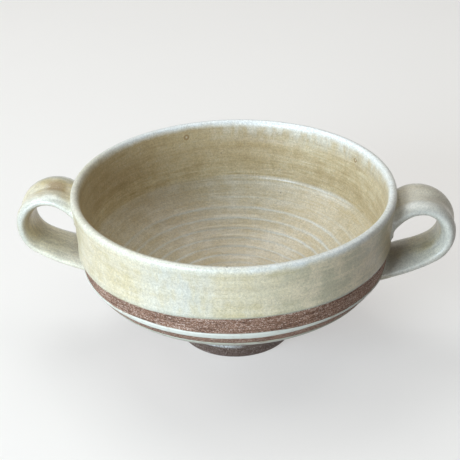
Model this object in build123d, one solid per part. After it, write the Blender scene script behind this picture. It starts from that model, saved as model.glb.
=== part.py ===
from build123d import *
from math import cos, radians, sin, sqrt
import os

# A wheel-thrown stoneware soup bowl with two pulled strap handles.
# Millimetres. The origin is the centre of the foot on the table, Z is up and the handles lie along X.

# Thrown bowl, as bare clay. Each drop is measured down from the rim.
RIM_RADIUS = 64.5
BOWL_HEIGHT = 67.5
LIP = 2.7
LIP_FLAT = 0.1
WALL = 3.8
WALL_LEAN = 2.4
SHOULDER_DROP = 33.0
SHOULDER_ROUND = 13.0
FLOOR = 6.0
DISH_EDGE_DROP = 26.5
DISH_EDGE_ROUND = 4.5

# Turned foot
FOOT_RADIUS = 24.0
FOOT_HEIGHT = 8.5
FOOT_SPLAY = 3.0
FOOT_WALL = 5.0
FOOT_ROUND = 1.2
FOOT_RECESS_DRAFT = 1.5

# Glaze coats and the throwing rings that show through the one inside
GLAZE = 0.5
GLAZE_EDGE_DROP = 21.5
BARE_BAND = 7.3
BROAD_STRIPE = 2.3
STRIPE_GAP = 4.6
FINE_STRIPE = 2.6
RING_PITCH = 4.3
RING_HEIGHT = 0.35
RING_ROUND = 3.5

# Pulled handle: the route of the strap's middle, from the upper root round the loop to the lower root
LOOP_REACH = 9.0
LOOP_DROP = 16.5
LOOP_RADIUS = 11.8
LOOP_TURN = 190.0
ROOT_RISE = 40.0
ARM_RADIUS = 60.0
ARM_TURN = 11.0

# Pulled handle: the strap's section, and how it spreads towards its roots
STRAP_WIDTH = 19.5
STRAP_THICKNESS = 5.4
STRAP_EDGE = 2.0
THUMB_GROOVE = 0.7
UNDERSIDE_CROWN = 0.4
ROOT_SPREAD = 2.5
ROOT_SWELL = 1.2
ROOT_FADE = 15.0
TAIL_SPREAD = 2.0
TAIL_FADE = 12.0
STATIONS = 25

# Slip that bonds the handle ends to the wall
SLIP = 1.2
SLIP_BEAD = 1.0

SHOULDER_RADIUS = RIM_RADIUS - WALL_LEAN
SHOULDER_HEIGHT = BOWL_HEIGHT - SHOULDER_DROP
DISH_EDGE_HEIGHT = BOWL_HEIGHT - DISH_EDGE_DROP
GLAZE_EDGE_HEIGHT = BOWL_HEIGHT - GLAZE_EDGE_DROP
BASE_RADIUS = FOOT_RADIUS + FOOT_SPLAY
FLOOR_HEIGHT = FOOT_HEIGHT + FLOOR
LIP_CREST = RIM_RADIUS - LIP / 2
BROAD_STRIPE_TOP = GLAZE_EDGE_HEIGHT - BARE_BAND
BROAD_STRIPE_FOOT = BROAD_STRIPE_TOP - BROAD_STRIPE
FINE_STRIPE_TOP = BROAD_STRIPE_FOOT - STRIPE_GAP
FINE_STRIPE_FOOT = FINE_STRIPE_TOP - FINE_STRIPE
WALL_SLOPE = WALL_LEAN / (BOWL_HEIGHT - SHOULDER_HEIGHT)
DISH_EDGE_RADIUS = SHOULDER_RADIUS + WALL_SLOPE * (DISH_EDGE_HEIGHT - SHOULDER_HEIGHT) - WALL
DISH_DEPTH = DISH_EDGE_HEIGHT - FLOOR_HEIGHT
DISH_CURVE = (DISH_EDGE_RADIUS**2 + DISH_DEPTH**2) / (2 * DISH_DEPTH)


def window(low, high, reach=2 * RIM_RADIUS):
    """A rectangle on the section plane, from the axis out to a reach, between two heights."""
    return Plane.YZ * Pos(reach / 2, (low + high) / 2) * Rectangle(reach, high - low)


def filled_section():
    """Half section of the bowl's outside, filled in up to the rim."""
    shoulder = (SHOULDER_RADIUS, SHOULDER_HEIGHT)
    with BuildSketch(Plane.YZ) as section:
        with BuildLine():
            Polyline(
                (0, FOOT_HEIGHT),
                (BASE_RADIUS, FOOT_HEIGHT),
                shoulder,
                (RIM_RADIUS, BOWL_HEIGHT),
                (0, BOWL_HEIGHT),
                close=True,
            )
        make_face()
        fillet(section.vertices().sort_by_distance(shoulder)[0], SHOULDER_ROUND)
    return section.sketch


def cavity_section():
    """Half section of the space inside: a shallow dish under a steep wall."""
    dish_edge = (DISH_EDGE_RADIUS, DISH_EDGE_HEIGHT)
    rim = (RIM_RADIUS - LIP, BOWL_HEIGHT)
    with BuildSketch(Plane.YZ) as section:
        with BuildLine():
            TangentArc((0, FLOOR_HEIGHT), dish_edge, tangent=(1, 0))
            Polyline(dish_edge, rim, (0, BOWL_HEIGHT), (0, FLOOR_HEIGHT))
        make_face()
        fillet(section.vertices().sort_by_distance(dish_edge)[0], DISH_EDGE_ROUND)
    return section.sketch


def clay_section(filled, cavity):
    """Half section of the thrown wall, with its rounded lip."""
    wall = filled - cavity
    lip = wall.vertices().group_by(Axis.Z)[-1]
    return fillet(lip, (LIP - LIP_FLAT) / 2)


def foot_section():
    """Half section of the foot ring, which splays out to meet the belly."""
    inner = FOOT_RADIUS - FOOT_WALL
    with BuildSketch(Plane.YZ) as section:
        with BuildLine():
            Polyline(
                (inner, 0),
                (FOOT_RADIUS, 0),
                (BASE_RADIUS, FOOT_HEIGHT),
                (inner - FOOT_RECESS_DRAFT, FOOT_HEIGHT),
                close=True,
            )
        make_face()
        fillet(section.vertices().group_by(Axis.Z)[0], FOOT_ROUND)
    return section.sketch


def throwing_rings():
    """Low round ridges across the dish, one for each turn of the wheel."""
    rings = []
    curve_height = FLOOR_HEIGHT + DISH_CURVE
    middle = DISH_CURVE - GLAZE - RING_HEIGHT + RING_ROUND
    for turn in range(1, int((DISH_EDGE_RADIUS - DISH_EDGE_ROUND) / RING_PITCH)):
        across = turn * RING_PITCH
        drop = sqrt(middle**2 - across**2)
        rings.append(Plane.YZ * Pos(across, curve_height - drop) * Circle(RING_ROUND))
    return rings


def glaze_sections(clay, cavity):
    """Half sections of the liner, the outer coat and the two stripes."""
    above = BOWL_HEIGHT + 2 * GLAZE
    coat = offset(clay, GLAZE) - clay
    inside = cavity + window(BOWL_HEIGHT - LIP, above, LIP_CREST)
    outside = coat - inside
    liner = ((coat + throwing_rings()) & inside) - clay
    outer = outside & window(GLAZE_EDGE_HEIGHT, above)
    broad = outside & window(BROAD_STRIPE_FOOT, BROAD_STRIPE_TOP)
    fine = outside & window(FINE_STRIPE_FOOT, FINE_STRIPE_TOP)
    return liner, outer, broad, fine


def filled_bowl(filled, margin):
    """The bowl's outside as one filled solid, grown by a margin."""
    grown = offset(filled, margin) if margin else filled
    return revolve(grown & window(0, 2 * BOWL_HEIGHT), Axis.Z)


def strap_route():
    """The middle of the right-hand strap: its root in the wall, the loop, and the arm that runs on into the belly."""
    rise = Vector(cos(radians(ROOT_RISE)), sin(radians(ROOT_RISE)))
    loop_middle = Vector(RIM_RADIUS + LOOP_REACH, BOWL_HEIGHT - LOOP_DROP)
    loop_start = loop_middle + Vector(-rise.Y, rise.X) * LOOP_RADIUS
    root = Line(loop_start - rise * (loop_start.X - DISH_EDGE_RADIUS) / rise.X, loop_start)
    loop = JernArc(loop_start, rise, LOOP_RADIUS, -LOOP_TURN)
    arm = JernArc(loop @ 1, loop % 1, ARM_RADIUS, -ARM_TURN)
    tail_end = arm @ 1
    heading = arm % 1
    tail = Line(tail_end, tail_end + heading * (BASE_RADIUS - tail_end.X) / heading.X)
    return [Plane.XZ * piece for piece in (root, loop, arm, tail)]


def ease(distance, length):
    """Nothing at the start of a length, one from its end on, and smooth between."""
    share = min(max(distance / length, 0.0), 1.0)
    return share * share * (3 - 2 * share)


def strap_section(plane, from_root, past_loop, grow):
    """Section of the strap: a thumb groove along its outside and a low crown underneath."""
    near_root = 1 - ease(from_root, ROOT_FADE)
    width = STRAP_WIDTH + ROOT_SPREAD * near_root + TAIL_SPREAD * ease(past_loop, TAIL_FADE)
    side = width / 2 + grow
    half = (STRAP_THICKNESS + ROOT_SWELL * near_root) / 2 + grow
    corner = side - STRAP_EDGE - grow
    with BuildSketch(plane) as section:
        with BuildLine():
            ThreePointArc((-corner, half), (0, half - THUMB_GROOVE), (corner, half))
            ThreePointArc((corner, half), (side, 0), (corner, -half))
            ThreePointArc((corner, -half), (0, -half - UNDERSIDE_CROWN), (-corner, -half))
            ThreePointArc((-corner, -half), (-side, 0), (-corner, half))
        make_face()
    return section.sketch


def strap(grow):
    """The whole right-hand strap, running on into the wall at both roots, grown by a margin."""
    root, loop, arm, tail = strap_route()
    route = Wire([root, loop, arm, tail])
    sections = []
    for station in range(STATIONS):
        place = station / (STATIONS - 1)
        plane = Plane(route @ place, x_dir=(0, 1, 0), z_dir=route % place)
        from_root = place * route.length - root.length
        sections.append(strap_section(plane, from_root, from_root - loop.length, grow))
    return loft(sections)


def handle_pieces(filled):
    """The right-hand handle's clay, its glaze and its two slip pads, and the tool that clears their seat."""
    clay_wall = filled_bowl(filled, 0)
    slip_face = filled_bowl(filled, SLIP)
    bare = strap(0)
    beaded = strap(SLIP_BEAD)
    pads = ((beaded & slip_face) - clay_wall).solids().sort_by(Axis.Z)
    pieces = {
        "handle": bare - slip_face,
        "handle_glaze": strap(GLAZE) - bare - slip_face,
        "upper_slip": pads[-1],
        "lower_slip": pads[0],
    }
    return pieces, beaded


def handle_lane():
    """The lane across the bowl that both handle ends and their beads of slip take up."""
    return Box(4 * RIM_RADIUS, STRAP_WIDTH + TAIL_SPREAD + 2 * SLIP_BEAD, 2 * BOWL_HEIGHT)


def build():
    """Every piece of the bowl by name."""
    filled = filled_section()
    cavity = cavity_section()
    clay = clay_section(filled, cavity)
    liner, outer, broad, fine = (revolve(section, Axis.Z) for section in glaze_sections(clay, cavity))
    pieces, seat = handle_pieces(filled)
    seats = [seat, mirror(seat, Plane.YZ)]
    fine_front, fine_back = (fine - handle_lane()).solids().sort_by(Axis.Y)
    parts = {
        "thrown_bowl": revolve(clay, Axis.Z),
        "foot_ring": revolve(foot_section(), Axis.Z),
        "liner_glaze": liner,
        "outer_glaze": outer - seats,
        "broad_stripe": broad - seats,
        "fine_stripe_front": fine_front,
        "fine_stripe_back": fine_back,
    }
    for name, piece in pieces.items():
        parts["right_" + name] = piece
        parts["left_" + name] = mirror(piece, Plane.YZ)
    return parts


os.makedirs("parts", exist_ok=True)
for name, piece in build().items():
    export_step(piece, "parts/" + name + ".step")
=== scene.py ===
import math
from collections import namedtuple

import bmesh
import bpy
from mathutils import Matrix, Vector, noise


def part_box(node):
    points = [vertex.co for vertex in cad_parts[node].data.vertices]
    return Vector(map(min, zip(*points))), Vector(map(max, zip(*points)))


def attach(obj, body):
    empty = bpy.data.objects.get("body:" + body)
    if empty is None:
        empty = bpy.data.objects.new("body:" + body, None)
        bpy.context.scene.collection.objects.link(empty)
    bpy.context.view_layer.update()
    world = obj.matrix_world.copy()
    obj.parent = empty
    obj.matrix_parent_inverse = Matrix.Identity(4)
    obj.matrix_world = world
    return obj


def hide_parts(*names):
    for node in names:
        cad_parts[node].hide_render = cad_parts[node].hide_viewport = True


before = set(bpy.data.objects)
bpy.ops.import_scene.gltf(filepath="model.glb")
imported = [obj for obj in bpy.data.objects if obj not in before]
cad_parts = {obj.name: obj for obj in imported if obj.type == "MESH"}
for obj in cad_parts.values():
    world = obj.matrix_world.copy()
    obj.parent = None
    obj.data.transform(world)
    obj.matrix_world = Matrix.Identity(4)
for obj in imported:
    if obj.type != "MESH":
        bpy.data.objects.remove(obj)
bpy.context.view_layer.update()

# Lengths are in millimetres until a vertex is placed. The handles lie along X and the front faces -Y.
MM = 0.001
METRE = 1000.0
TINY = 1e-6
CUT = 0.001
WELD = 0.002
AXIS = 0.01
AXIS_GUARD = 0.001

# Bowl: half outline of the clay, from the axis under the floor up the outside and down the inside
FOOT_JOINT = (27.3, 8.8)
CLAY_OUTLINE = [
    (0.0, 8.5), (12.0, 8.5), (24.0, 8.5), (26.7, 8.5), FOOT_JOINT,
    (38.6, 16.6), (48.6, 23.9), (57.4, 30.8), (61.6, 36.0), (62.6, 42.0),
    (62.9, 50.0), (63.3, 58.0), (64.2, 64.5),
    (64.6, 67.2), (63.2, 67.8), (61.8, 67.2), (61.6, 64.0),
    (60.9, 56.0), (60.0, 48.0), (59.5, 43.6), (58.8, 41.0), (57.2, 39.2),
    (52.0, 34.2), (44.0, 27.9), (33.0, 21.4), (21.0, 17.0), (9.0, 14.6), (0.0, 14.5),
]
OUTLINE_ORDER = 3
OUTLINE_DETAIL = 8
OUTLINE_HALVINGS = 2
LONGEST_STEP = 0.7
WHEEL_STEPS = 176

# Foot: half outline of the turned ring
FOOT_OUTLINE = [
    (17.6, 8.6), (17.9, 6.0), (18.6, 2.0), (19.2, 0.35), (20.4, 0.0), (22.6, 0.0),
    (23.8, 0.35), (24.5, 1.8), (25.4, 4.6), (26.6, 7.6), (27.2, 8.6), (22.0, 8.9),
]

# Throwing rings in the dish: where they start and end are radii
RING_PITCH = 4.3
RING_HEIGHT = 0.40
RING_SHARPNESS = 5
RING_STARTS = (5.0, 30.0)
RING_ENDS = (49.0, 52.0)
RING_WANDER = 0.6
RING_WANDER_GRAIN = 45
RING_WANDER_SEED = Vector((0, 0, 3.0))
RING_EVEN = 0.6
RING_UNEVEN = 0.9
RING_UNEVEN_GRAIN = 30
RING_UNEVEN_SEED = Vector((5.0, 0, 0))
DISH_TOP = 42
DISH_TILT = 0.4

# Ripples that the fingers left up the wall: where they start and end are heights
RIPPLE = 0.13
RIPPLE_PITCH = 7.0
RIPPLE_STARTS = (42, 47)
RIPPLE_ENDS = (60, 65)
RIPPLE_UNEVEN = 0.8
RIPPLE_GRAIN = 1.5
RIPPLE_GRAIN_UP = 0.35
RIPPLE_OUTSIDE = 0.6

# The one clear finger groove inside the wall: its climb, start and end are turns in degrees from the right
FINGER_GROOVE = 0.22
FINGER_GROOVE_WIDTH = 0.9
FINGER_GROOVE_HEIGHT = 58.4
FINGER_GROOVE_RISE = 3.4
FINGER_GROOVE_CLIMB = (2, 36)
FINGER_GROOVE_STARTS = (-25, 0)
FINGER_GROOVE_ENDS = (40, 62)

# A rim that isn't quite true
OVAL = 0.18
OVAL_RISE = (20, 66)
OVAL_TURN = 0.7
RIM_WAVE = 0.22
RIM_WAVE_RISE = (45, 67)
RIM_WAVE_TURN = 0.9


def heights(node):
    """The lowest and highest points of a CAD node, in millimetres."""
    low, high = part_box(node)
    return low[2] / MM, high[2] / MM


# Glaze coats: a coat's height off the clay, the bead along its edges, the depth of its hidden side,
# and how far its edges wander and how far in from them that is felt
Coat = namedtuple("Coat", "height bead depth wave reach")
GLAZE = Coat(height=0.5, bead=0.22, depth=0.45, wave=0.45, reach=3.5)
STRIPE = Coat(height=0.4, bead=0.0, depth=0.35, wave=0.3, reach=1.1)
GLAZE_EDGE = heights("outer_glaze")[0]
WHITE_STRIPE = heights("broad_stripe")
GREY_STRIPE = heights("fine_stripe_front")
HANDLE_LANE = -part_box("fine_stripe_front")[1][1] / MM
GLAZE_SEED = 1.0
GLAZE_DIP = 1.7
GLAZE_DIP_TURN = math.radians(-158)
COAT_EDGE_SHARE = 0.35
RIM_THINNING = 0.22
RIM_BAND = (64.5, 67.2)
EDGE_TURNS = 2.2
EDGE_WAVES = ((1.0, 1.0), (0.4, 4.5), (0.25, 14.0))
EDGE_TILT = 0.2

# Where the clay is glazed: tilts of its faces, and heights
OUTSIDE_TILT = 0.05
WALL_TILT = 0.5
UNDERSIDE_TILT = -0.2
STRIPE_TILT = 0.3
RIM_FOOT = 64
FLOOR_UNDERSIDE = 13

# Stripes draw in beside the handles, between these shares of the way to the side
STRIPE_TAPER = 0.85
TAPER_RIGHT = (0.15, 0.72)
TAPER_LEFT = (0.45, 0.78)
TAPER_LEFT_SHARE = 0.75

# Handle: the strap's route in its own plane, from its root in the wall round the loop to the arm
LOOP_MIDDLE = (73.5, 51.0)
LOOP_OUTER = 15.0
LOOP_TURN = 190.0
ROOT_RISE = 40.0
ROOT_ARC = 28.0
ROOT_TURN = 50.0
ARM_RADIUS = 60.0
ARM_TURN = 11.0
TAIL_RUN = 15.0
STRAP_STEP = 0.3
STRAP_SWAY = 0.3
STRAP_SWAY_GRAIN = 0.02

# Handle: the strap's section, with a ridge by its back edge, a thumb groove and a crease along its outside
Mark = namedtuple("Mark", "height width place")
STRAP_MARKS = (Mark(0.1, 1.2, 8.8), Mark(-1.3, 3.8, -1.2), Mark(-0.35, 1.0, -4.4))
STRAP_SIDES = 96
FRONT_SQUARENESS = 2.3
BACK_SQUARENESS = 2.6
UNDER_SQUARENESS = 2.0
ROOT_SPREAD = 2.6
TAIL_SPREAD = 2.2
SPREAD_FADE = 14.0

# Handle: how its ends flare and merge with the wall, and the lumps and knocks of its surface
FILLET = 2.4
FLARE = 0.55
MERGE = 0.8
MERGE_REACH = 4 * MERGE
SINK = 0.45
HIDDEN_RUN = (4.0, 14.0)
GLAZE_STEP = 0.3
SLOPE_REACH = 0.5
LUMP = 0.14
LUMP_GRAIN = 90
PIT = 0.05
PIT_GRAIN = 420
SMOOTHING = 0.35
NICK_RADIUS = 1.6
NICK_DEPTH = 0.7

# Each handle was pulled by hand, so they differ: back is a shift away from the front, and lift a rise
Strap = namedtuple("Strap", "width thick reach back lift nick seed")
STRAPS = {
    "right": Strap(width=20.8, thick=7.2, reach=0.7, back=-0.9, lift=-0.3, nick=(73, -11, 36), seed=2.0),
    "left": Strap(width=20.8, thick=6.3, reach=0.4, back=1.2, lift=0.5, nick=(80, -9, 39), seed=7.0),
}


def ease(value, low, high):
    """Nothing below the low value, one above the high one, and smooth between."""
    share = min(max((value - low) / (high - low), 0.0), 1.0)
    return share * share * (3 - 2 * share)


def outwards(place):
    """Level direction from the wheel's axis to a point."""
    level = Vector((place.x, place.y, 0))
    return level.normalized() if level.length > TINY else Vector((0, 0, 1))


def finished(name, bm, material, nodes):
    """Makes a piece of a mesh, smooth and in place, that rides on the bowl and stands for its CAD nodes."""
    mesh = bpy.data.meshes.new(name)
    bm.to_mesh(mesh)
    bm.free()
    mesh.polygons.foreach_set("use_smooth", [True] * len(mesh.polygons))
    mesh.materials.append(material)
    piece = bpy.data.objects.new(name, mesh)
    bpy.context.scene.collection.objects.link(piece)
    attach(piece, "root")
    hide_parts(*nodes)


def drawn_outline(points, closed):
    """A smooth half outline in the XZ plane, as a mesh of edges."""
    curve = bpy.data.curves.new("outline", "CURVE")
    curve.dimensions = "3D"
    curve.resolution_u = OUTLINE_DETAIL
    spline = curve.splines.new("NURBS")
    spline.points.add(len(points) - 1)
    for point, (radius, height) in zip(spline.points, points):
        point.co = (radius * MM, 0.0, height * MM, 1.0)
    spline.use_cyclic_u = closed
    spline.order_u = OUTLINE_ORDER
    spline.use_endpoint_u = not closed
    holder = bpy.data.objects.new("outline", curve)
    mesh = bpy.data.meshes.new_from_object(holder)
    bm = bmesh.new()
    bm.from_mesh(mesh)
    bpy.data.objects.remove(holder)
    bpy.data.curves.remove(curve)
    bpy.data.meshes.remove(mesh)
    return bm


def thrown(points, closed=False):
    """Turns a half outline round the wheel's axis into a closed shape."""
    bm = drawn_outline(points, closed)
    for halving in range(OUTLINE_HALVINGS):
        long_edges = [e for e in bm.edges if e.calc_length() > LONGEST_STEP * MM]
        bmesh.ops.subdivide_edges(bm, edges=long_edges, cuts=1)
    bmesh.ops.spin(
        bm,
        geom=bm.verts[:] + bm.edges[:],
        cent=(0, 0, 0),
        axis=(0, 0, 1),
        angle=math.tau,
        steps=WHEEL_STEPS,
        use_merge=True,
    )
    bmesh.ops.remove_doubles(bm, verts=bm.verts[:], dist=WELD * MM)
    bmesh.ops.recalc_face_normals(bm, faces=bm.faces[:])
    bm.normal_update()
    return bm


def outside_line():
    """The clay's outside as heights and radii, read from the drawn outline."""
    bm = drawn_outline(CLAY_OUTLINE, False)
    line = [(v.co.z / MM, v.co.x / MM) for v in bm.verts]
    bm.free()
    crest = max(range(len(line)), key=lambda i: line[i][0])
    return [p for p in line[: crest + 1] if p[1] > FOOT_JOINT[0]]


OUTSIDE = outside_line()


def outside_radius(height):
    """Radius of the clay's outside at a height."""
    for (low, near), (high, far) in zip(OUTSIDE, OUTSIDE[1:]):
        if height <= high:
            return near + (far - near) * max(height - low, 0.0) / max(high - low, TINY)
    return OUTSIDE[-1][1]


def dish_ring(radius, turn, place):
    """Height of the spiral ridge that the potter's finger left in the dish."""
    wander = RING_WANDER * noise.noise(place * RING_WANDER_GRAIN + RING_WANDER_SEED)
    crest = (0.5 + 0.5 * math.cos(math.tau * (radius + wander) / RING_PITCH - turn)) ** RING_SHARPNESS
    field = ease(radius, *RING_STARTS) * (1 - ease(radius, *RING_ENDS))
    uneven = RING_EVEN + RING_UNEVEN * noise.noise(place * RING_UNEVEN_GRAIN + RING_UNEVEN_SEED)
    return RING_HEIGHT * crest * field * uneven


def wall_ripple(height, turn, out):
    """Height of the ripples in the wall."""
    shown = ease(height, *RIPPLE_STARTS) * (1 - ease(height, *RIPPLE_ENDS))
    ripple = math.cos(math.tau * height / RIPPLE_PITCH - turn)
    grain = Vector((out.x * RIPPLE_GRAIN, out.y * RIPPLE_GRAIN, height * RIPPLE_GRAIN_UP))
    ripple += RIPPLE_UNEVEN * noise.noise(grain)
    return RIPPLE * ripple * shown


def finger_groove(height, turn):
    """Depth of the one clear finger groove inside the wall, which runs down from the rim on the right."""
    angle = math.degrees(turn)
    middle = FINGER_GROOVE_HEIGHT + FINGER_GROOVE_RISE * ease(angle, *FINGER_GROOVE_CLIMB)
    shown = ease(angle, *FINGER_GROOVE_STARTS) * (1 - ease(angle, *FINGER_GROOVE_ENDS))
    return FINGER_GROOVE * shown * math.exp(-(((height - middle) / FINGER_GROOVE_WIDTH) ** 2))


def throw_marks(bm):
    """Leaves the potter's marks: rings in the dish, ripples up the wall and a rim that isn't quite true."""
    moves = []
    for v in bm.verts:
        radius = math.hypot(v.co.x, v.co.y) / MM
        height = v.co.z / MM
        if radius < AXIS:
            continue
        turn = math.atan2(v.co.y, v.co.x)
        out = outwards(v.co)
        inside = v.normal.dot(out) < 0
        move = v.normal * wall_ripple(height, turn, out) * (1.0 if inside else RIPPLE_OUTSIDE)
        if v.normal.z > DISH_TILT and height < DISH_TOP:
            move.z += dish_ring(radius, turn, v.co)
        if inside:
            move -= v.normal * finger_groove(height, turn)
        move += out * OVAL * ease(height, *OVAL_RISE) * math.cos(2 * turn + OVAL_TURN)
        move.z += RIM_WAVE * ease(height, *RIM_WAVE_RISE) * math.cos(2 * turn - RIM_WAVE_TURN)
        moves.append((v, move))
    for v, move in moves:
        v.co += move * MM
    bm.normal_update()


def on_glaze(face):
    """Whether a face of the clay lies under the cream glaze."""
    centre = face.calc_center_median()
    outward = face.normal.dot(outwards(centre))
    if outward > OUTSIDE_TILT and face.normal.z < WALL_TILT and centre.z < RIM_FOOT * MM:
        return centre.z > GLAZE_EDGE * MM
    return face.normal.z > UNDERSIDE_TILT and centre.z > FLOOR_UNDERSIDE * MM


def on_stripe(band):
    """A test for faces of the clay's outside between two heights."""

    def under(face):
        centre = face.calc_center_median()
        outward = face.normal.dot(outwards(centre))
        return outward > STRIPE_TILT and band[0] * MM < centre.z < band[1] * MM

    return under


def glaze_dip(edge, out):
    """The cream glaze was poured a little lower on one side."""
    lean = out.x * math.cos(GLAZE_DIP_TURN) + out.y * math.sin(GLAZE_DIP_TURN)
    return -GLAZE_DIP * max(lean, 0.0) ** 2


def stripe_taper(band):
    """Each edge of a brushed stripe draws in towards its middle beside the handles."""
    middle = sum(band) / 2

    def drift(edge, out):
        beside = max(ease(out.x, *TAPER_RIGHT), TAPER_LEFT_SHARE * ease(-out.x, *TAPER_LEFT))
        return (middle - edge) * STRIPE_TAPER * beside

    return drift


def coat_height(coat, v, near, at_rim):
    """How far a coat stands off the clay: less at its very edge and on the rim, and more in its bead."""
    if at_rim:
        return coat.height * COAT_EDGE_SHARE
    return coat.height + coat.bead * near - RIM_THINNING * ease(v.co.z / MM, *RIM_BAND)


def coat_band(clay, keep, edges, drift, coat, seed):
    """A glaze coat cut from the clay's own surface, with wandering edges, thickened outwards and closed."""
    bm = clay.copy()
    for height in edges:
        bmesh.ops.bisect_plane(
            bm,
            geom=bm.verts[:] + bm.edges[:] + bm.faces[:],
            dist=CUT * MM,
            plane_co=(0, 0, height * MM),
            plane_no=(0, 0, 1),
        )
    bm.normal_update()
    spare = [f for f in bm.faces if not keep(f)]
    bmesh.ops.delete(bm, geom=spare, context="FACES")
    bm.normal_update()
    rims = {v for e in bm.edges if e.is_boundary for v in e.verts}
    moves = []
    for v in bm.verts:
        out = outwards(v.co)
        shift = 0.0
        near = 0.0
        for edge in edges:
            close = 1 - ease(abs(v.co.z / MM - edge), 0.0, coat.reach)
            if v.normal.dot(out) < EDGE_TILT or close <= 0:
                continue
            near = max(near, close)
            place = Vector((out.x * EDGE_TURNS, out.y * EDGE_TURNS, seed + edge))
            waver = sum(share * noise.noise(place * grain) for share, grain in EDGE_WAVES)
            shift += close * (drift(edge, out) + coat.wave * waver)
        along = Vector((0, 0, 1)) - v.normal * v.normal.z
        moves.append((v, v.normal * coat_height(coat, v, near, v in rims) + along * shift))
    for v, move in moves:
        v.co += move * MM
    bmesh.ops.solidify(bm, geom=bm.faces[:], thickness=coat.depth * MM)
    bmesh.ops.recalc_face_normals(bm, faces=bm.faces[:])
    return bm


def half_stripe(whole, side):
    """The front or back half of a stripe, which stops beside the handles."""
    half = whole.copy()
    bmesh.ops.bisect_plane(
        half,
        geom=half.verts[:] + half.edges[:] + half.faces[:],
        dist=CUT * MM,
        plane_co=(0, side * HANDLE_LANE * MM, 0),
        plane_no=(0, -side, 0),
        clear_outer=True,
    )
    bmesh.ops.holes_fill(half, edges=[e for e in half.edges if e.is_boundary], sides=0)
    bmesh.ops.recalc_face_normals(half, faces=half.faces[:])
    return half


def strap_section(bm, width, thick):
    """The strap's section: a fat roll along its front edge, a marked outside and a thinner back edge."""
    for v in bmesh.ops.create_circle(bm, segments=STRAP_SIDES, radius=1.0)["verts"]:
        front = FRONT_SQUARENESS if v.co.y > 0 else UNDER_SQUARENESS
        power = front if v.co.x < 0 else BACK_SQUARENESS
        square = (abs(v.co.x) ** power + abs(v.co.y) ** power) ** (-1 / power)
        side = v.co.x * square * width / 2
        deep = v.co.y * square
        height = deep * thick / 2
        if deep > 0:
            marks = (m.height * math.exp(-(((side - m.place) / m.width) ** 2)) for m in STRAP_MARKS)
            height += deep * sum(marks)
        v.co = Vector((0, side, height)) * MM


def pulled(bm, ring, matrix):
    """Extrudes a ring of edges one step along, and gives back the new edges and vertices."""
    grown = bmesh.ops.extrude_edge_only(bm, edges=ring)["geom"]
    verts = {g for g in grown if isinstance(g, bmesh.types.BMVert)}
    edges = [g for g in grown if isinstance(g, bmesh.types.BMEdge) and verts.issuperset(g.verts)]
    bmesh.ops.transform(bm, matrix=matrix, verts=list(verts))
    return edges, verts


def left_of(heading):
    """Direction square to a heading in the handle's plane, on the outside of the loop."""
    return Vector((-math.sin(heading), 0, math.cos(heading)))


def strap_route(loop_radius, reach):
    """The strap's first place, and its steps out of the wall, round the loop and down the arm."""
    middle = Vector((LOOP_MIDDLE[0] + reach, 0, LOOP_MIDDLE[1])) * MM
    rise = math.radians(ROOT_RISE)
    root_middle = middle + left_of(rise) * (loop_radius - ROOT_ARC) * MM
    heading = rise + math.radians(ROOT_TURN)
    first = root_middle + left_of(heading) * ROOT_ARC * MM
    seat = Matrix.Translation(first) @ Matrix.Rotation(-heading, 4, "Y")
    loop_end = rise - math.radians(LOOP_TURN)
    arm_middle = middle + left_of(loop_end) * (loop_radius - ARM_RADIUS) * MM
    bends = (
        (root_middle, ROOT_ARC, ROOT_TURN),
        (middle, loop_radius, LOOP_TURN),
        (arm_middle, ARM_RADIUS, ARM_TURN),
    )
    steps = []
    for centre, radius, turn in bends:
        count = round(math.radians(turn) * radius / STRAP_STEP)
        swing = Matrix.Rotation(math.radians(turn) / count, 4, "Y")
        steps += [Matrix.Translation(centre) @ swing @ Matrix.Translation(-centre)] * count
    heading = loop_end - math.radians(ARM_TURN)
    ahead = Vector((math.cos(heading), 0, math.sin(heading)))
    steps += [Matrix.Translation(ahead * STRAP_STEP * MM)] * round(TAIL_RUN / STRAP_STEP)
    return seat, steps


def strap(shape):
    """The right-hand strap, pulled along its route, spread at both ends and blended into the wall."""
    bm = bmesh.new()
    strap_section(bm, shape.width, shape.thick)
    loop_radius = LOOP_OUTER - shape.thick / 2
    seat, steps = strap_route(loop_radius, shape.reach)
    bmesh.ops.transform(bm, matrix=seat, verts=bm.verts[:])
    ring = bm.edges[:]
    stations = [(set(bm.verts), 0.0, 0.0)]
    from_root = -ROOT_ARC * math.radians(ROOT_TURN)
    loop_length = loop_radius * math.radians(LOOP_TURN)
    for step in steps:
        ring, verts = pulled(bm, ring, step)
        from_root += STRAP_STEP
        stations.append((verts, max(from_root, 0.0), max(from_root - loop_length, 0.0)))
    showing = {}
    for index, (verts, past_root, past_loop) in enumerate(stations):
        spread = ROOT_SPREAD * (1 - ease(past_root, 0, SPREAD_FADE))
        spread += TAIL_SPREAD * ease(past_loop, 0, SPREAD_FADE)
        sway = STRAP_SWAY * noise.noise(Vector((index * STRAP_SWAY_GRAIN, shape.seed, 1.0)))
        for v in verts:
            v.co.y = v.co.y * (1 + spread / shape.width) + (shape.back + sway) * MM
            v.co.z += shape.lift * MM
        showing.update(dict.fromkeys(verts, ease(index * STRAP_STEP, *HIDDEN_RUN)))
    bmesh.ops.holes_fill(bm, edges=[e for e in bm.edges if e.is_boundary], sides=0)
    bmesh.ops.recalc_face_normals(bm, faces=bm.faces[:])
    bm.normal_update()
    blend_roots(bm, showing, shape.seed)
    knock(bm, Vector(shape.nick) * MM)
    return bm


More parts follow.
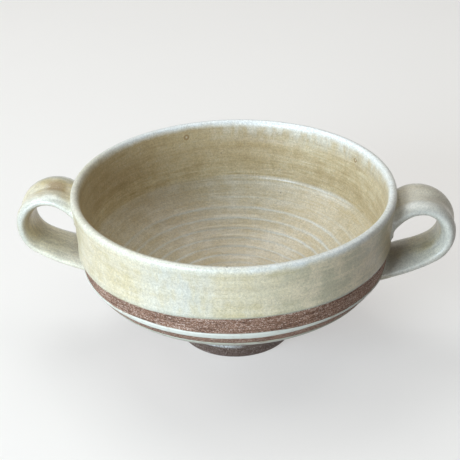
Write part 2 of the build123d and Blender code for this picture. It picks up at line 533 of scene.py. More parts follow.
def wall_gap(place):
    """Distance of a point from the glazed outside of the bowl."""
    height = place.z / MM
    coat = GLAZE.height * ease(height, GLAZE_EDGE - GLAZE_STEP, GLAZE_EDGE + GLAZE_STEP)
    rise = outside_radius(height + SLOPE_REACH) - outside_radius(height - SLOPE_REACH)
    slope = rise / (2 * SLOPE_REACH)
    gap = math.hypot(place.x, place.y) / MM - outside_radius(height) - coat
    return gap / math.sqrt(1 + slope * slope)


def blend_roots(bm, showing, seed):
    """Flares the strap where it meets the wall, and lays its hidden ends just under the glaze."""
    normals = {v: v.normal.copy() for v in bm.verts}
    for v in bm.verts:
        near = min(max(1 - wall_gap(v.co) / FILLET, 0.0), 1.0)
        flare = FILLET * (1 - math.sqrt(1 - near * near)) * FLARE * showing[v]
        rough = LUMP * noise.noise(v.co * LUMP_GRAIN + Vector((seed, 0, 0)))
        rough += PIT * noise.noise(v.co * PIT_GRAIN)
        v.co += normals[v] * (flare + rough) * MM
    for v in bm.verts:
        gap = wall_gap(v.co)
        if gap < MERGE_REACH:
            merged = MERGE * math.log1p(math.exp(gap / MERGE)) - SINK * (1 - ease(gap, 0, MERGE_REACH))
            v.co += outwards(v.co) * (merged - gap) * MM
    bmesh.ops.smooth_vert(
        bm, verts=bm.verts[:], factor=SMOOTHING, use_axis_x=True, use_axis_y=True, use_axis_z=True
    )
    bm.normal_update()


def knock(bm, place):
    """A small dent in the edge of a strap."""
    nearest = min(bm.verts, key=lambda v: (v.co - place).length)
    centre = nearest.co.copy()
    inwards = -nearest.normal
    for v in bm.verts:
        share = max(1 - ((v.co - centre).length / (NICK_RADIUS * MM)) ** 2, 0.0)
        v.co += inwards * NICK_DEPTH * MM * share**2


class Wire:
    """A socket of a material. Sums and products of wires add Math nodes."""

    def __init__(self, tree, socket=None):
        self.tree = tree
        self.socket = socket

    def node(self, kind, settings, sockets, out=0):
        """Adds a node, sets it up, fills its inputs and gives back one of its outputs."""
        made = self.tree.nodes.new(kind)
        for name, value in settings.items():
            if name == "stops":
                ramp = made.color_ramp.elements
                ramp[0].position, ramp[0].color = value[0]
                ramp[1].position, ramp[1].color = value[-1]
                for position, colour in value[1:-1]:
                    ramp.new(position).color = colour
            else:
                setattr(made, name, value)
        for key, value in sockets.items():
            if isinstance(value, Wire):
                self.tree.links.new(value.socket, made.inputs[key])
            else:
                made.inputs[key].default_value = value
        return Wire(self.tree, made.outputs[out])

    def math(self, operation, first, second=0.0):
        """One Math node."""
        return self.node("ShaderNodeMath", {"operation": operation}, {0: first, 1: second})

    def __add__(self, other):
        return self.math("ADD", self, other)

    __radd__ = __add__

    def __sub__(self, other):
        return self.math("SUBTRACT", self, other)

    def __rsub__(self, other):
        return self.math("SUBTRACT", other, self)

    def __mul__(self, other):
        return self.math("MULTIPLY", self, other)

    __rmul__ = __mul__

    def __truediv__(self, other):
        return self.math("DIVIDE", self, other)

    def __rtruediv__(self, other):
        return self.math("DIVIDE", other, self)

    def __pow__(self, other):
        return self.math("POWER", self, other)

    def __rpow__(self, other):
        return self.math("POWER", other, self)

    def __abs__(self):
        return self.math("ABSOLUTE", self)

    def between(self, low, high):
        """Nothing below a low value, one above a high one, and smooth between."""
        settings = {"interpolation_type": "SMOOTHSTEP"}
        return self.node("ShaderNodeMapRange", settings, {0: self, 1: low, 2: high, 3: 0.0, 4: 1.0})

    def tint(self, below, above):
        """A colour between two, by this wire's value. Each is a wire or plain red, green and blue."""
        sockets = {0: self, 6: shade(below), 7: shade(above)}
        return self.node("ShaderNodeMix", {"data_type": "RGBA"}, sockets, 2)

    def times(self, colour):
        """A colour made darker or lighter by this wire's value."""
        settings = {"data_type": "RGBA", "blend_type": "MULTIPLY"}
        return self.node("ShaderNodeMix", settings, {0: 1.0, 6: colour, 7: self}, 2)

    def ramp(self, *stops):
        """A colour from a ramp, by this wire's value."""
        return self.node("ShaderNodeValToRGB", {"stops": [(at, shade(c)) for at, c in stops]}, {0: self})

    def cloud(self, scale, detail=3.0, rough=0.55):
        """Noise over this wire's vector."""
        sockets = {"Vector": self, "Scale": scale, "Detail": detail, "Roughness": rough}
        return self.node("ShaderNodeTexNoise", {}, sockets)

    def stretched(self, scales):
        """This wire's vector, scaled along each axis."""
        return self.node("ShaderNodeVectorMath", {"operation": "MULTIPLY"}, {0: self, 1: scales})

    def off(self, point):
        """Distance of this wire's place from a point, in millimetres."""
        spot = tuple(c * MM for c in point)
        return self.node("ShaderNodeVectorMath", {"operation": "DISTANCE"}, {0: self, 1: spot}, 1) / MM

    def xyz(self):
        """The three parts of this wire's vector."""
        return [self.node("ShaderNodeSeparateXYZ", {}, {0: self}, part) for part in range(3)]


def shade(colour):
    """A colour as a node takes it, from a wire or from plain red, green and blue."""
    return colour if isinstance(colour, Wire) else (*colour, 1.0)


def surface(name, fixed):
    """A new material with its shader's fixed values set, and the wire that its nodes start from."""
    material = bpy.data.materials.new(name)
    material.use_nodes = True
    shader = material.node_tree.nodes["Principled BSDF"]
    for socket, value in fixed.items():
        shader.inputs[socket].default_value = value
    place = Wire(material.node_tree).node("ShaderNodeTexCoord", {}, {}, "Object")
    return material, shader, place


def join(wire, shader, name):
    """Links a wire to one of the shader's inputs."""
    wire.tree.links.new(wire.socket, shader.inputs[name])


def bump(strength, distance, height):
    """A normal from a height."""
    sockets = {"Strength": strength, "Distance": distance, "Height": height}
    return height.node("ShaderNodeBump", {}, sockets)


# Places on the wheel: the turn is a cosine, towards the right, and a sine, towards the back
Wheel = namedtuple("Wheel", "place cos_turn sin_turn radius height")


def wheel_coordinates(place):
    """Radius, height and a direction round the wheel, all without a seam."""
    x, y, z = place.xyz()
    radius = (x * x + y * y) ** 0.5 * METRE
    height = z * METRE
    safe = radius + AXIS_GUARD
    return Wheel(place, x * METRE / safe, y * METRE / safe, radius, height)


def towards(wheel, right, back):
    """How far a place lies towards a level direction, from -1 to 1."""
    return wheel.cos_turn * right + wheel.sin_turn * back


def streaks(wheel, along, pull, detail=3.0):
    """Noise drawn out round the wheel, as a brush or a turning tool leaves it."""
    sockets = {0: wheel.cos_turn * pull, 1: wheel.sin_turn * pull, 2: along}
    return wheel.place.node("ShaderNodeCombineXYZ", {}, sockets).cloud(1.0, detail, STREAK_ROUGHNESS)


# Colours of the cream glaze, some of them painted highlight, painted light and painted shade
CREAM = (0.645, 0.573, 0.40)
CREAM_WARM = (0.575, 0.49, 0.285)
CREAM_LIGHT = (0.675, 0.62, 0.46)
CREAM_PALE = (0.70, 0.70, 0.64)
CREAM_PAINTED_WARM_LIGHT = (0.69, 0.60, 0.385)
CREAM_BEIGE = (0.72, 0.62, 0.43)
CREAM_GREEN = (0.495, 0.455, 0.31)
CREAM_ASH = (0.60, 0.57, 0.49)
BLOOM = (0.61, 0.605, 0.53)
PAINTED_HIGHLIGHT = (0.79, 0.80, 0.76)
RIM_WARM = (0.70, 0.675, 0.56)
EDGE_BLUE_HIGHLIGHT = (0.58, 0.61, 0.585)
ARM_PAINTED_LIGHT = (0.80, 0.745, 0.575)
TAN = (0.558, 0.458, 0.276)
TAN_DARK = (0.435, 0.335, 0.18)
TAN_PAINTED_SHADE = (0.40, 0.295, 0.15)
TAN_PALE = (0.645, 0.57, 0.39)
DISH = (0.60, 0.523, 0.364)
DISH_PALE = (0.70, 0.64, 0.51)
AMBER = (0.30, 0.19, 0.075)
ASH_GREEN = (0.36, 0.37, 0.30)
IRON = (0.10, 0.06, 0.035)

# Colours of the bare clay, of the painted glint where the belly meets the foot, and of the stripes, thick
# and thin
CLAY_DARK = (0.052, 0.023, 0.012)
CLAY = (0.212, 0.102, 0.057)
CLAY_LIGHT = (0.37, 0.215, 0.14)
CLAY_GRIT_GLINT = (0.84, 0.74, 0.66)
FOOT_GLINT = (0.80, 0.82, 0.80)
WHITE_THICK = (0.69, 0.69, 0.60)
WHITE_THIN = (0.50, 0.44, 0.34)
GREY_THICK = (0.42, 0.42, 0.33)
GREY_THIN = (0.22, 0.16, 0.11)

# Depths of bumps, in metres
BUMP = 0.0006
STRIPE_BUMP = 0.0005

# Noise: scales per metre, and the ranges that even and soft patches are cut from
STREAK_ROUGHNESS = 0.6
MOTTLE_ROUGHNESS = 0.6
GRAIN_ROUGHNESS = 0.7
BROAD_SCALE = 45.0
MOTTLE_SCALE = 190.0
PATCH_SCALE = 150.0
STRAP_BROAD_SCALE = 60.0
STRAP_MOTTLE_SCALE = 200.0
STRAP_DRAWN_SCALES = (130.0, 620.0, 130.0)
CLAY_MOTTLE_SCALE = 140.0
STRIPE_MOTTLE_SCALE = 260.0
GRAIN_SCALE = 1050.0
DUST_SCALE = 2300.0
FLECK_SCALE = 1600.0
IRON_SCALE = 210.0
IRON_FIELD_SCALE = 120.0
EVEN = (0.35, 0.65)
SOFT = (0.3, 0.7)

# Burst blisters and iron specks in the glaze: place and radius
BLISTERS = [((-24.4, 56.4, 62.2), 1.3), ((45.2, 40.9, 56.5), 0.7), ((50.4, 35.1, 61.8), 1.0)]
SPECKS = [
    ((-9.9, -63.3, 58.2), 0.55),
    ((1.3, -62.9, 67.6), 0.6),
    ((24.0, 52.0, 35.0), 0.4),
    ((-30.0, 20.0, 22.5), 0.4),
]

# Where the bowl's glaze changes: radii and heights, and turns as the wheel gives them
WALL_LEAN = 0.056
INSIDE_RADII = (57.9, 59.3)
DISH_EDGE = (41.6, 43.4)
EDGE_MOTTLE = 1.6
FRONT_TURN = (-0.5, 0.0)
BLOOM_STARTS = (-0.6, -0.3)
BLOOM_ENDS = (-0.22, 0.06)
PAINTED_LIGHT_STARTS = (-0.15, 0.2)
PATCHES_START = (0.1, 0.55)
SHADE_BESIDE_HANDLE = (0.72, 0.97)
UNDER_RIM = (58.0, 66.0)
SHADED_TURN = (0.2, 0.9)
SHADED_HEIGHT = (46.0, 54.0)
FAR_RIGHT_TURN = (0.45, 0.95)
FAR_RIGHT_HEIGHT = (57.0, 65.5)
CREST_SHARPNESS = 10.0
CRESTS_START = (14.0, 28.0)
CRESTS_END = (50.0, 53.0)
CORNER_FOOT = (39.4, 40.8)
CORNER_TOP = (41.6, 43.0)
CORNER_TURN = (0.75, 1.0)
RIM_HEIGHT = (64.6, 67.6)
RIM_HIGHLIGHT_RIGHT = (-0.3, 0.5)
RIM_HIGHLIGHT_BACK = (0.2, 0.75)
LOWER_EDGE = (46.5, 47.5)
LOWER_EDGE_RIGHT = (-0.5, 0.4)

# Where the straps' glaze changes: distances from the strap's middle or the loop's middle, and heights
STRAP_EDGE = (4.6, 8.4)
BACK_EDGE_HIGHLIGHT = (8.4, 10.2)
LEFT_TO_RIGHT = (-10.0, 10.0)
POOL_LINE = 2.4
POOL_SIDES = (1.5, 5.0)
POOL_OUT = 72.0
POOL_ENDS = (1.5, 6.5)
POOL_HEIGHT = (52.0, 58.0)
TINT_LOOP_MIDDLE = (74.0, 51.0)
OUTER_FACE = (10.0, 12.5)
INNER_FACE = (9.5, 12.0)
INNER_SHADE_HEIGHT = (48.0, 56.0)
ARM_TOP = (42.0, 48.0)
ARM_FOOT = (34.0, 37.0)

# Where the clay changes: heights, radii and turns
LOW_BELLY = (26.0, 32.0)
FOOT_TOP = (8.0, 12.0)
GLINT_FOOT = (6.0, 7.2)
GLINT_TOP = (9.2, 10.6)
GLINT_OUTSIDE = (20.0, 22.0)
GLINT_FRONT = (-0.7, 0.0)
GLINT_STARTS = (-0.6, -0.35)
GLINT_ENDS = (-0.1, 0.25)


def speckled(place, colour, mottle):
    """Fine grain in a glaze, a few pale flecks and a few iron spots."""
    grain = place.cloud(GRAIN_SCALE, 2.0, GRAIN_ROUGHNESS)
    dust = place.cloud(DUST_SCALE, 1.0)
    colour = (0.80 + grain.between(*SOFT) * 0.2 + dust.between(*SOFT) * 0.2).times(colour)
    fleck = place.cloud(FLECK_SCALE, 1.0).between(0.62, 0.76) * mottle.between(0.4, 0.65)
    colour = (fleck * 0.4).tint(colour, CREAM_PALE)
    cells = place.node("ShaderNodeTexVoronoi", {}, {"Vector": place, "Scale": IRON_SCALE})
    iron = (1 - cells.between(0.05, 0.11)) * place.cloud(IRON_FIELD_SCALE).between(0.58, 0.68)
    return (iron * 0.7).tint(colour, IRON), grain


def blistered(place, colour, relief):
    """A few burst blisters, with their raised amber rings, and a few iron specks."""
    for point, size in BLISTERS:
        away = place.off(point)
        ring = away.between(size * 0.45, size * 0.75) * (1 - away.between(size * 0.85, size * 1.3))
        pit = 1 - away.between(size * 0.2, size * 0.55)
        colour = (ring * 0.85).tint(colour, AMBER)
        colour = (pit * 0.6).tint(colour, CREAM_PALE)
        relief = relief + ring * 0.8 - pit * 0.6
    for point, size in SPECKS:
        colour = ((1 - place.off(point).between(size * 0.4, size)) * 0.75).tint(colour, IRON)
    return colour, relief


# Noise that the bowl's glaze is mottled by: clouds, bands round the wheel and runs down the wall
Texture = namedtuple("Texture", "broad mottle bands fine_bands runs")


def glaze_texture(wheel):
    """The noise of the bowl's glaze."""
    return Texture(
        broad=wheel.place.cloud(BROAD_SCALE, 2.0),
        mottle=wheel.place.cloud(MOTTLE_SCALE, 4.0, MOTTLE_ROUGHNESS),
        bands=streaks(wheel, wheel.height * 0.55 + wheel.radius * 0.4, 1.6),
        fine_bands=streaks(wheel, wheel.height * 1.7 + wheel.radius * 1.3, 9.0),
        runs=streaks(wheel, wheel.height * 0.12, 20.0),
    )


def outside_colour(wheel, texture):
    """Cream of the outside: a cool bloom left of the middle, a warmer and lighter cream right of it that is
    partly painted light, then patches, and painted shade beside the right handle.
    """
    broad, mottle, bands, fine_bands, runs = texture
    tone = broad * 0.2 + mottle * 0.2 + runs * 0.2 + bands * 0.25 + fine_bands * 0.15
    colour = tone.between(0.40, 0.60).ramp((0.0, CREAM_WARM), (0.5, CREAM), (1.0, CREAM_LIGHT))
    front = 1 - wheel.sin_turn.between(*FRONT_TURN)
    bloom = front * wheel.cos_turn.between(*BLOOM_STARTS) * (1 - wheel.cos_turn.between(*BLOOM_ENDS))
    colour = (bloom * (0.4 + runs.between(*EVEN) * 0.5)).tint(colour, BLOOM)
    # Painted light: on the front, right of the middle, the cream turns warmer and lighter, part warm glaze
    # and part painted light.
    warm_painted_light = front * wheel.cos_turn.between(*PAINTED_LIGHT_STARTS) * bands.between(0.3, 0.6)
    colour = (warm_painted_light * 0.55).tint(colour, CREAM_PAINTED_WARM_LIGHT)
    patch = (wheel.place.cloud(PATCH_SCALE, 3.0) * 0.6 + bands * 0.4).between(0.39, 0.60)
    patches = patch.tint(CREAM_GREEN, CREAM_BEIGE)
    colour = (0.15 + wheel.cos_turn.between(*PATCHES_START) * 0.7).tint(colour, patches)
    # Painted shade: the outside darkens to tan beside the right handle, below the rim.
    painted_shade_beside_handle = wheel.cos_turn.between(*SHADE_BESIDE_HANDLE) * (1 - wheel.height.between(*UNDER_RIM))
    return (painted_shade_beside_handle * 0.45).tint(colour, TAN_DARK)


def inside_colours(wheel, texture):
    """Tan of the inside wall, darkened at the back left by painted shade and a browner glaze, paler at the
    far right, and of the dish.
    """
    tone = texture.broad * 0.2 + texture.mottle * 0.25 + texture.bands * 0.3 + texture.fine_bands * 0.25
    tone = tone.between(0.36, 0.64)
    wall = tone.ramp((0.0, TAN_DARK), (0.5, TAN), (1.0, TAN_PALE))
    dish = tone.ramp((0.0, TAN), (0.5, DISH), (1.0, DISH_PALE))
    # Painted shade, partly a browner glaze: the inside wall darkens at the back left.
    deep = towards(wheel, -0.6, 0.8).between(*SHADED_TURN) * wheel.height.between(*SHADED_HEIGHT)
    wall = (deep * 0.55).tint(wall, TAN_PAINTED_SHADE)
    far_right = towards(wheel, 0.63, 0.77).between(*FAR_RIGHT_TURN)
    far_right = far_right * wheel.height.between(*FAR_RIGHT_HEIGHT)
    wall = (far_right * (0.15 + texture.runs.between(*EVEN) * 0.5)).tint(wall, CREAM_PALE)
    return wall, dish


def ring_crests(wheel, texture):
    """Where the glaze runs thin on the crests of the throwing rings."""
    turn = (wheel.radius + texture.mottle * 0.6 + texture.broad * 0.8) * (math.tau / RING_PITCH)
    wave = turn.math("COSINE", turn) * wheel.cos_turn + turn.math("SINE", turn) * wheel.sin_turn
    field = wheel.radius.between(*CRESTS_START) * (1 - wheel.radius.between(*CRESTS_END))
    return (wave * 0.5 + 0.5) ** CREST_SHARPNESS * field * (0.6 + texture.bands.between(*EVEN) * 0.4)


def bowl_glaze():
    """Cream glaze of the bowl: mottled, pale where thin on the rim and ring crests, with painted highlights
    on the rim and in the corner at the back right, and tan inside.
    """
    material, shader, place = surface("cream_glaze", {"Coat Weight": 0.3, "Coat Roughness": 0.22})
    wheel = wheel_coordinates(place)
    texture = glaze_texture(wheel)
    broad, mottle, bands, fine_bands, runs = texture
    inside = 1 - (wheel.radius - wheel.height * WALL_LEAN).between(*INSIDE_RADII)
    dish = inside * (1 - (wheel.height + mottle * EDGE_MOTTLE).between(*DISH_EDGE))
    wall_colour, dish_colour = inside_colours(wheel, texture)
    colour = inside.tint(outside_colour(wheel, texture), wall_colour)
    colour = dish.tint(colour, dish_colour)
    colour = (dish * ring_crests(wheel, texture)).tint(colour, CREAM_PALE)
    # Painted highlight: a pale line on the glaze pooled in the corner between wall and dish, at the back
    # right.
    corner = wheel.height.between(*CORNER_FOOT) * (1 - wheel.height.between(*CORNER_TOP)) * inside
    pool = corner * towards(wheel, 0.4, 0.92).between(*CORNER_TURN) * bands.between(*EVEN)
    colour = (pool * 0.9).tint(colour, PAINTED_HIGHLIGHT)
    # The rim is paler where the glaze runs thin, and to the right and back a bluish painted highlight is
    # laid over it.
    rim = (wheel.height + mottle * EDGE_MOTTLE - EDGE_MOTTLE / 2).between(*RIM_HEIGHT)
    rim_back_highlight = wheel.sin_turn.between(*RIM_HIGHLIGHT_BACK)
    rim_highlight_side = 1 - (1 - wheel.cos_turn.between(*RIM_HIGHLIGHT_RIGHT)) * (1 - rim_back_highlight)
    rim_colour = rim_highlight_side.tint(RIM_WARM, PAINTED_HIGHLIGHT)
    colour = (rim * (0.45 + mottle * 0.7 + rim_back_highlight * 0.25)).tint(colour, rim_colour)
    edge = (1 - (wheel.height + broad * 0.8).between(*LOWER_EDGE)) * (1 - inside)
    colour = (edge * (0.2 + wheel.cos_turn.between(*LOWER_EDGE_RIGHT) * 0.55)).tint(colour, ASH_GREEN)
    colour, grain = speckled(place, colour, mottle)
    relief = mottle * 0.3 + grain * 0.4 + bands * 0.2 + fine_bands * 0.3 + runs * 0.2
    colour, relief = blistered(place, colour, relief)
    join(colour, shader, "Base Color")
    join(0.30 + mottle * 0.12 + grain * 0.10, shader, "Roughness")
    join(bump(0.35, BUMP, relief), shader, "Normal")
    return material


def strap_glaze():
    """Cream glaze of the handles: pale on the edges, partly as a painted highlight, and pooled to amber in
    the groove by the wall, with painted light and shade inside the left loop, painted light on the lower
    arms and a painted highlight along the back edge.
    """
    material, shader, place = surface("strap_glaze", {"Coat Roughness": 0.2})
    x, y, z = (part / MM for part in place.xyz())
    out = abs(x)
    right = x.between(*LEFT_TO_RIGHT)
    left = 1 - right
    broad = place.cloud(STRAP_BROAD_SCALE, 2.0)
    mottle = place.cloud(STRAP_MOTTLE_SCALE, 4.0, MOTTLE_ROUGHNESS)
    drawn = place.stretched(STRAP_DRAWN_SCALES).cloud(1.0, 3.0)
    tone = (broad * 0.5 + mottle * 0.5).between(0.41, 0.59)
    colour = tone.ramp((0.0, CREAM_WARM), (0.5, CREAM), (1.0, CREAM_LIGHT))
    # The strap edges are pale where the glaze runs thin, and partly a painted highlight, bluish on the left
    # strap.
    edge = (abs(y) + mottle * 3.0 - 1.5).between(*STRAP_EDGE)
    colour = (edge * (0.5 + right * 0.25)).tint(colour, left.tint(CREAM_PALE, EDGE_BLUE_HIGHLIGHT))
    from_loop = (out - TINT_LOOP_MIDDLE[0]) ** 2.0 + (z - TINT_LOOP_MIDDLE[1]) ** 2.0
    from_loop = from_loop ** 0.5
    outer_face = from_loop.between(*OUTER_FACE)
    inner_face = (1 - from_loop.between(*INNER_FACE)) * left
    groove = 1 - abs(y - POOL_LINE + mottle * 2.0).between(*POOL_SIDES)
    pool = groove * outer_face * (1 - abs(out - POOL_OUT).between(*POOL_ENDS)) * z.between(*POOL_HEIGHT)
    # Painted light and shade inside the left loop: a warmer, lighter cream over the inner face, and painted
    # brown shade higher up in it.
    colour = (inner_face * 0.6).tint(colour, CREAM_PAINTED_WARM_LIGHT)
    colour = (inner_face * z.between(*INNER_SHADE_HEIGHT) * 0.45).tint(colour, AMBER)
    # Painted light: the lower arms are lightened, the left one more.
    arm_painted_light = (1 - z.between(*ARM_TOP)) * (0.35 + left * 0.4)
    colour = arm_painted_light.tint(colour, left.tint(CREAM_LIGHT, ARM_PAINTED_LIGHT))
    # Painted highlight: a pale line along the strap's back edge.
    colour = (y.between(*BACK_EDGE_HIGHLIGHT) * 0.9).tint(colour, PAINTED_HIGHLIGHT)
    colour = (0.90 + drawn.between(0.34, 0.66) * 0.2).times(colour)
    colour = (outer_face * right * 0.6).tint(colour, CREAM_ASH)
    colour = (pool * (0.15 + left * 0.6)).tint(colour, AMBER)
    low = 1 - (z + mottle * 4.0).between(*ARM_FOOT)
    colour = (low * 0.4).tint(colour, CREAM_WARM)
    colour, grain = speckled(place, colour, mottle)
    join(colour, shader, "Base Color")
    join(0.28 + mottle * 0.14 + grain * 0.08 + pool * 0.25, shader, "Roughness")
    join(0.35 - pool * 0.33, shader, "Coat Weight")
    join(bump(0.4, BUMP, mottle * 0.5 + grain * 0.4 + drawn * 0.5), shader, "Normal")
    return material


def bare_clay():
    """Bare stoneware: toasted brown, turned in fine lines, gritty with pale specks that are partly painted
    glints, darker low on the belly and foot, and with a painted glint on the front where the belly meets
    the foot.
    """
    material, shader, place = surface("bare_clay", {})
    wheel = wheel_coordinates(place)
    along = wheel.height + wheel.radius * 0.5
    lines = streaks(wheel, along * 3.0, 5.0, 4.0)
    grit = streaks(wheel, along * 2.2, 75.0, 2.0)
    dust = streaks(wheel, along * 4.0 + 20.0, 140.0, 1.0)
    mottle = place.cloud(CLAY_MOTTLE_SCALE, 4.0)
    tone = (lines * 0.45 + grit * 0.4 + mottle * 0.15).between(0.36, 0.64)
    colour = tone.ramp((0.0, CLAY_DARK), (0.4, CLAY), (1.0, CLAY_LIGHT))
    low = 1 - (wheel.height + mottle * 4.0).between(*LOW_BELLY)
    foot = 1 - wheel.height.between(*FOOT_TOP)
    colour = (low * (0.4 + foot * 0.55)).tint(colour, CLAY_DARK)
    # Pale grit specks, partly painted glints.
    grit_glint = dust.between(0.50, 0.64) * grit.between(0.40, 0.58) * lines.between(0.35, 0.6)
    colour = (grit_glint * (0.8 - low * 0.1)).tint(colour, CLAY_GRIT_GLINT)
    colour = (0.72 + dust.between(*EVEN) * 0.5).times(colour)
    # Painted glint: pale bluish spots in the grit on the front, where the belly meets the foot.
    joint = wheel.height.between(*GLINT_FOOT) * (1 - wheel.height.between(*GLINT_TOP))
    joint = joint * wheel.radius.between(*GLINT_OUTSIDE) * (1 - wheel.sin_turn.between(*GLINT_FRONT))
    painted_glint = joint * wheel.cos_turn.between(*GLINT_STARTS) * (1 - wheel.cos_turn.between(*GLINT_ENDS))
    painted_glint = painted_glint * grit.between(0.38, 0.54)
    colour = painted_glint.tint(colour, FOOT_GLINT)
    join(colour, shader, "Base Color")
    join(0.6 - low * 0.12 + grit * 0.15 - painted_glint * 0.2, shader, "Roughness")
    join(bump(0.6, BUMP, lines * 0.5 + grit * 0.4 + dust * 0.3), shader, "Normal")
    return material


def brushed_stripe(name, thick, thin):
    """Glaze of a brushed stripe: streaked along the brush, and thin where the clay shows through."""
    material, shader, place = surface(name, {"Coat Weight": 0.3, "Coat Roughness": 0.2})
    wheel = wheel_coordinates(place)
    brush = streaks(wheel, wheel.height * 1.6 + wheel.radius * 0.8, 7.0, 4.0)
    mottle = place.cloud(STRIPE_MOTTLE_SCALE, 4.0)
    worn = (brush * 0.6 + mottle * 0.5).between(0.55, 0.72)
    join(worn.tint(thick, thin), shader, "Base Color")
    join(0.32 + mottle * 0.2, shader, "Roughness")
    join(bump(0.3, STRIPE_BUMP, brush * 0.6 + mottle * 0.4), shader, "Normal")
    return material


# Clay and its coats
glaze_material = bowl_glaze()
strap_material = strap_glaze()
clay_material = bare_clay()
white_material = brushed_stripe("white_stripe_glaze", WHITE_THICK, WHITE_THIN)
grey_material = brushed_stripe("grey_stripe_glaze", GREY_THICK, GREY_THIN)

clay = thrown(CLAY_OUTLINE)
throw_marks(clay)
cream = coat_band(clay, on_glaze, [GLAZE_EDGE], glaze_dip, GLAZE, GLAZE_SEED)
white, grey = (
    coat_band(clay, on_stripe(band), band, stripe_taper(band), STRIPE, band[0])
    for band in (WHITE_STRIPE, GREY_STRIPE)
)

finished("cream_coat", cream, glaze_material, ["liner_glaze", "outer_glaze"])
finished("white_band", white, white_material, ["broad_stripe"])
finished("grey_band_front", half_stripe(grey, -1), grey_material, ["fine_stripe_front"])
finished("grey_band_back", half_stripe(grey, 1), grey_material, ["fine_stripe_back"])
grey.free()
finished("clay_body", clay, clay_material, ["thrown_bowl"])
finished("turned_foot", thrown(FOOT_OUTLINE, True), clay_material, ["foot_ring"])

# Handles
for side, shape in STRAPS.items():
    handle = strap(shape)
    if side == "left":
        bmesh.ops.scale(handle, vec=(-1, 1, 1), verts=handle.verts[:])
        bmesh.ops.recalc_face_normals(handle, faces=handle.faces[:])
    nodes = [side + "_handle", side + "_handle_glaze", side + "_upper_slip", side + "_lower_slip"]
    finished(side + "_strap", handle, strap_material, nodes)

# Floor, turned up into a round backdrop, in metres. It looks paler than the light it throws back.
BACKDROP_RADIUS = 6.0
BACKDROP_HEIGHT = 2.5
BACKDROP_SIDES = 96
FLOOR_BOUNCE = (0.21, 0.175, 0.15)
FLOOR_PALE = (0.45, 0.435, 0.41)
FLOOR_PALER = (0.47, 0.455, 0.43)
FLOOR_GLOW = (1.0, 0.985, 0.965)
FLOOR_FINISH = {"Roughness": 0.8, "Specular IOR Level": 0.3, "Emission Strength": 0.46}
FLOOR_CLOUD_SCALE = 6.0
NO_LIGHT = (0.0, 0.0, 0.0)
SEEN_RAYS = ("Is Camera Ray", "Is Glossy Ray", "Is Transmission Ray")


def pale_floor():
    """Material of the floor: pale to the eye and in reflections."""
    material, shader, place = surface("pale_floor", FLOOR_FINISH)
    seen = sum(place.node("ShaderNodeLightPath", {}, {}, ray) for ray in SEEN_RAYS)
    pale = place.cloud(FLOOR_CLOUD_SCALE).tint(FLOOR_PALE, FLOOR_PALER)
    join(seen.tint(FLOOR_BOUNCE, pale), shader, "Base Color")
    join(seen.tint(NO_LIGHT, FLOOR_GLOW), shader, "Emission Color")
    return material


floor_mesh = bmesh.new()
bmesh.ops.create_circle(floor_mesh, cap_ends=True, segments=BACKDROP_SIDES, radius=BACKDROP_RADIUS)
backdrop = bmesh.ops.extrude_edge_only(floor_mesh, edges=floor_mesh.edges[:])["geom"]
backdrop_top = [v for v in backdrop if isinstance(v, bmesh.types.BMVert)]
bmesh.ops.translate(floor_mesh, vec=(0, 0, BACKDROP_HEIGHT), verts=backdrop_top)
floor_data = bpy.data.meshes.new("floor")
floor_mesh.to_mesh(floor_data)
floor_mesh.free()
floor_data.materials.append(pale_floor())
floor = bpy.data.objects.new("floor", floor_data)
bpy.context.scene.collection.objects.link(floor)

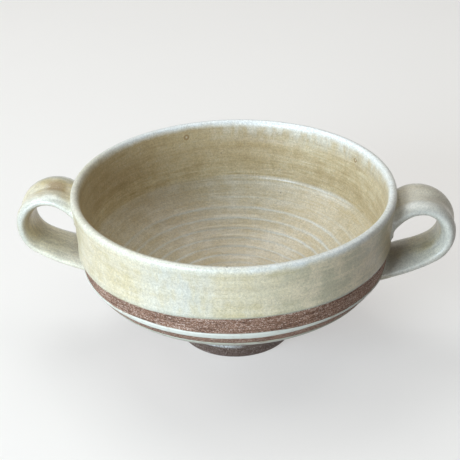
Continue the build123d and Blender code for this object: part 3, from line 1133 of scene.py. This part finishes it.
# Light, in metres and watts: each lamp's place is in degrees round from the front and up from the floor
WORLD_COLOUR = (1.0, 0.907, 0.80)
WORLD_STRENGTH = 0.075
BOWL_MIDDLE = Vector((0, 0, 0.04))
LAMP_DISTANCE = 0.9
Lamp = namedtuple("Lamp", "swing rise size power colour")
LAMPS = {
    "key": Lamp(-36, 15, 0.5, 10.6, (0.72, 0.86, 1.0)),
    "front": Lamp(6, 6, 0.25, 1.5, (0.80, 0.90, 1.0)),
    "side": Lamp(-90, 40, 0.5, 2.4, (0.98, 0.99, 1.0)),
    "back": Lamp(-150, 62, 0.5, 3.1, (0.92, 0.97, 1.0)),
    "right": Lamp(120, 65, 0.5, 1.3, (1.0, 1.0, 1.0)),
}

world = bpy.data.worlds.new("studio")
world.use_nodes = True
world.node_tree.nodes["Background"].inputs["Color"].default_value = shade(WORLD_COLOUR)
world.node_tree.nodes["Background"].inputs["Strength"].default_value = WORLD_STRENGTH
bpy.context.scene.world = world

for name, lamp in LAMPS.items():
    swing = math.radians(lamp.swing)
    rise = math.radians(lamp.rise)
    level = math.cos(rise)
    away = Vector((math.sin(swing) * level, -math.cos(swing) * level, math.sin(rise)))
    data = bpy.data.lights.new(name, "AREA")
    data.size = lamp.size
    data.energy = lamp.power
    data.color = lamp.colour
    holder = bpy.data.objects.new(name, data)
    holder.location = BOWL_MIDDLE + away * LAMP_DISTANCE
    holder.rotation_euler = (-away).to_track_quat("-Z", "Y").to_euler()
    holder.visible_camera = False
    bpy.context.scene.collection.objects.link(holder)

# Camera, at the photograph's viewing angle: its place is in metres, and its sensor and lens in millimetres
CAMERA_PLACE = (0.0255, -0.3895, 0.2693)
CAMERA_SWING = math.radians(4.0)
CAMERA_TILT = math.radians(29.68)
CAMERA_ROLL = math.radians(-1.35)
CAMERA_SENSOR = 36.0
CAMERA_LENS = 86.09

camera_data = bpy.data.cameras.new("camera")
camera_data.sensor_width = CAMERA_SENSOR
camera_data.lens = CAMERA_LENS
camera = bpy.data.objects.new("camera", camera_data)
bpy.context.scene.collection.objects.link(camera)
level = math.cos(CAMERA_TILT)
ahead = Vector((-math.sin(CAMERA_SWING) * level, math.cos(CAMERA_SWING) * level, -math.sin(CAMERA_TILT)))
right = Vector((math.cos(CAMERA_SWING), math.sin(CAMERA_SWING), 0))
up = right.cross(ahead)
across = right * math.cos(CAMERA_ROLL) + up * math.sin(CAMERA_ROLL)
upright = up * math.cos(CAMERA_ROLL) - right * math.sin(CAMERA_ROLL)
turn = Matrix((across, upright, -ahead)).transposed().to_4x4()
camera.matrix_world = Matrix.Translation(CAMERA_PLACE) @ turn
bpy.context.scene.camera = camera
bpy.context.scene.view_settings.view_transform = "Standard"
